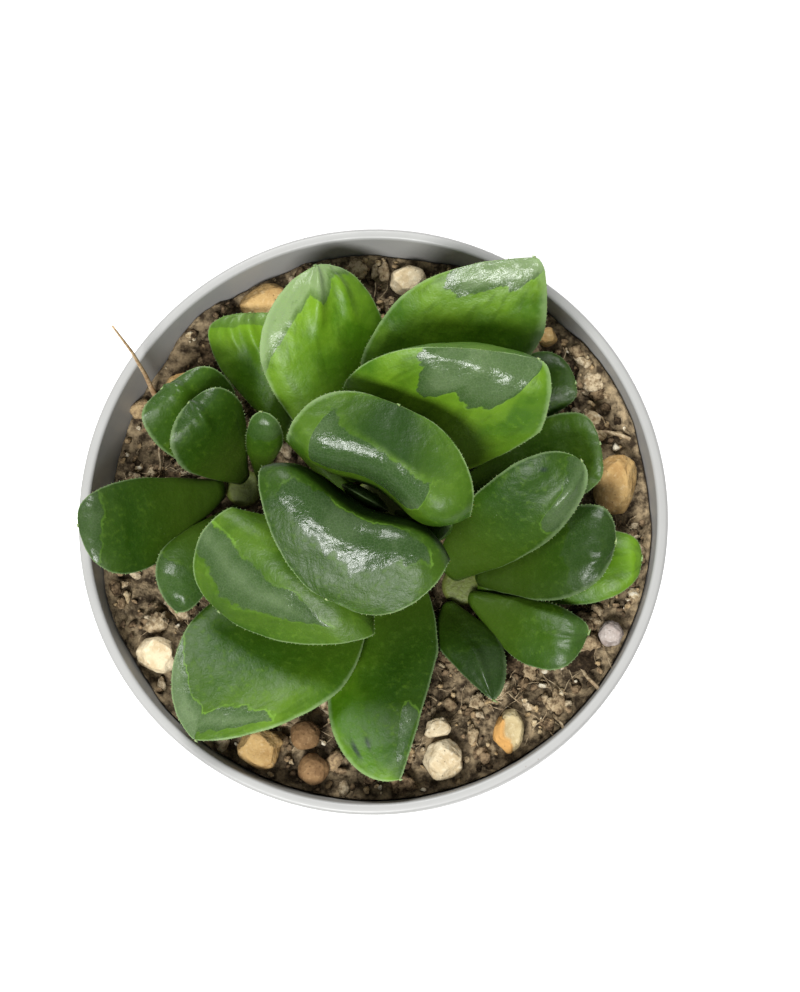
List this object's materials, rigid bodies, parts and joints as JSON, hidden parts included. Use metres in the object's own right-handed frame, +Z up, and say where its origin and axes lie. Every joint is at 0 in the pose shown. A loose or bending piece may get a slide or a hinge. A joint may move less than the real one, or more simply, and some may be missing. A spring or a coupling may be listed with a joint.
{
  "type": "potted haworthia",
  "caption": "Windowed haworthia with two offsets in a light grey plastic nursery pot, its fleshy dark green leaves spreading over brown gritty soil.",
  "frame": {"origin": "middle of the pot's flat bottom, where it rests", "axes": "+Z up along the pot's axis; +Y towards the top of the picture; +X to its right"},
  "size_m": [0.08, 0.08, 0.092],
  "materials": {
    "pot": "smooth satin moulded plastic",
    "soil": "rough gritty potting mix",
    "stem": "matte plant tissue",
    "leaf": "smooth fleshy leaf with a see-through window",
    "ochre_stone": "rough stone",
    "cream_stone": "rough pumice",
    "clay_pellet": "matte baked clay",
    "grey_stone": "rough stone",
    "straw": "dry stalk"
  },
  "bodies": {
    "root": {"pot": "pot", "soil": "soil", "main_stem": "stem", "left_pup_stem": "stem", "right_pup_stem": "stem", "leaf_upper_right_inner": "leaf", "leaf_lower_left_inner": "leaf", "leaf_upper_right_middle": "leaf", "leaf_lower_left_middle": "leaf", "leaf_upper_right_outer": "leaf", "leaf_lower_left_outer": "leaf", "leaf_front": "leaf", "leaf_right": "leaf", "leaf_back": "leaf", "leaf_back_low": "leaf", "leaf_right_low": "leaf", "leaf_far_right_low": "leaf", "left_pup_leaf_inner": "leaf", "left_pup_leaf_back": "leaf", "left_pup_leaf_side": "leaf", "left_pup_leaf_front": "leaf", "left_pup_leaf_right": "leaf", "right_pup_leaf_side": "leaf", "right_pup_leaf_front_side": "leaf", "right_pup_leaf_front": "leaf", "right_pup_leaf_under": "leaf", "heart_leaf_left": "leaf", "heart_leaf_right": "leaf", "stone_ochre_back": "ochre_stone", "stone_cream_back": "cream_stone", "stone_ochre_left": "ochre_stone", "stone_cream_left": "cream_stone", "stone_yellow_front": "ochre_stone", "stone_pellet_inner": "clay_pellet", "stone_pellet_outer": "clay_pellet", "stone_cream_inner": "cream_stone", "stone_cream_front": "cream_stone", "stone_tan_front": "ochre_stone", "stone_grey_right": "grey_stone", "stone_ochre_right": "ochre_stone", "stone_orange_right": "ochre_stone", "straw": "straw"}
  },
  "joints": []
}
